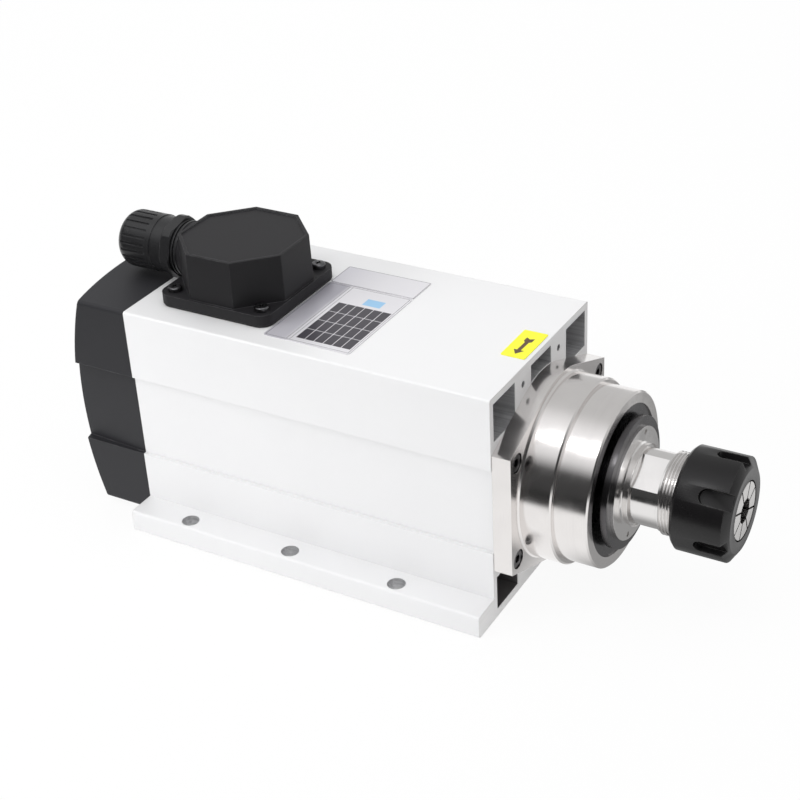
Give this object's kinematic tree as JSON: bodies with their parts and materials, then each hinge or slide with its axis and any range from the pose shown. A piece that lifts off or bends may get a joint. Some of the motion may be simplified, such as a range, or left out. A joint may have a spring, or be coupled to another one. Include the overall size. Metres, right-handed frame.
{
  "type": "motor spindle",
  "caption": "Square air-cooled router spindle: aluminium body on two feet, steel nose with collet and nut, rear fan cover, and a terminal box with cable gland.",
  "frame": {"origin": "centre of the six base holes, on the mounting face", "axes": "+X along the spindle axis towards the collet, +Z away from the mounting face"},
  "size_m": [0.3501, 0.1368, 0.1537],
  "materials": {
    "body_paint": "satin silver-white coating over extruded aluminium",
    "polished_steel": "fine turned and polished steel",
    "dark_steel": "dark turned steel",
    "bearing_steel": "ground and polished",
    "screw_steel": "zinc plated",
    "black_screw": "black oxide",
    "lamination_steel": "stacked electrical sheet",
    "copper_wire": "enamelled copper wire, varnished",
    "cast_aluminium": "machined casting",
    "spring_steel": "tempered",
    "cover_plastic": "fine moulded grain",
    "box_plastic": "fine moulded grain",
    "gland_plastic": "moulded nylon, half gloss",
    "fan_plastic": "glass filled nylon",
    "cage_plastic": "phenolic",
    "terminal_plastic": "moulded",
    "terminal_brass": "plain",
    "seal_rubber": "matt",
    "plate_silver": "printed silver foil, satin",
    "label_yellow": "printed film",
    "collet_steel": "ground spring steel",
    "black_oxide": "black oxide, satin"
  },
  "bodies": {
    "housing": {"motor_body": "body_paint", "front_housing": "polished_steel", "front_housing_screws": "screw_steel", "front_bearing_outer_rings": "bearing_steel", "front_outer_spacer": "bearing_steel", "front_bearing_cap": "dark_steel", "stator_core": "lamination_steel", "stator_windings": "copper_wire", "rear_bearing_housing": "cast_aluminium", "rear_housing_screws": "black_screw", "rear_bearing_outer_ring": "bearing_steel", "preload_spring": "spring_steel", "rear_cover": "cover_plastic", "rear_cover_screws": "black_screw", "junction_box": "box_plastic", "junction_box_gasket": "seal_rubber", "junction_box_screws": "screw_steel", "terminal_block": "terminal_plastic", "terminal_screws": "terminal_brass", "gland_body": "gland_plastic", "gland_locknut": "gland_plastic", "gland_seal": "seal_rubber", "gland_cap": "gland_plastic", "rating_plate": "plate_silver", "info_plate": "plate_silver", "rotation_label": "label_yellow"},
    "spindle": {"spindle_shaft": "polished_steel", "dust_ring": "dark_steel", "front_bearing_inner_rings": "bearing_steel", "front_inner_spacer": "bearing_steel", "bearing_lock_nut": "dark_steel", "rotor_core": "lamination_steel", "rotor_end_rings": "cast_aluminium", "rear_bearing_inner_ring": "bearing_steel", "cooling_fan": "fan_plastic", "fan_screw": "screw_steel"},
    "front_ball_set": {"front_bearing_balls": "bearing_steel", "front_bearing_cages": "cage_plastic"},
    "rear_ball_set": {"rear_bearing_balls": "bearing_steel", "rear_bearing_cage": "cage_plastic"},
    "collet": {"collet": "collet_steel"},
    "nut": {"collet_nut": "black_oxide", "extraction_ring": "black_oxide"}
  },
  "joints": [
    {"name": "spindle_spin", "type": "hinge", "parent": "housing", "child": "spindle", "pos_m": [0.15, 0, 0.0605], "axis": [1, 0, 0], "continuous": true},
    {"name": "front_balls_roll", "type": "hinge", "parent": "housing", "child": "front_ball_set", "pos_m": [0.13, 0, 0.0605], "axis": [1, 0, 0], "continuous": true},
    {"name": "rear_balls_roll", "type": "hinge", "parent": "housing", "child": "rear_ball_set", "pos_m": [-0.1, 0, 0.0605], "axis": [1, 0, 0], "continuous": true},
    {"name": "collet_slide", "type": "slide", "parent": "spindle", "child": "collet", "axis": [1, 0, 0], "range_m": [0, 0.0121]},
    {"name": "nut_turn", "type": "hinge", "parent": "collet", "child": "nut", "pos_m": [0.2018, 0, 0.0605], "axis": [1, 0, 0], "range_deg": [0, 2880]}
  ],
  "couplings": [
    {"joint": "front_balls_roll", "follows": "spindle_spin", "ratio": 0.42},
    {"joint": "rear_balls_roll", "follows": "spindle_spin", "ratio": 0.4},
    {"joint": "collet_slide", "follows": "nut_turn", "m_per_rad": 0.00023873}
  ]
}
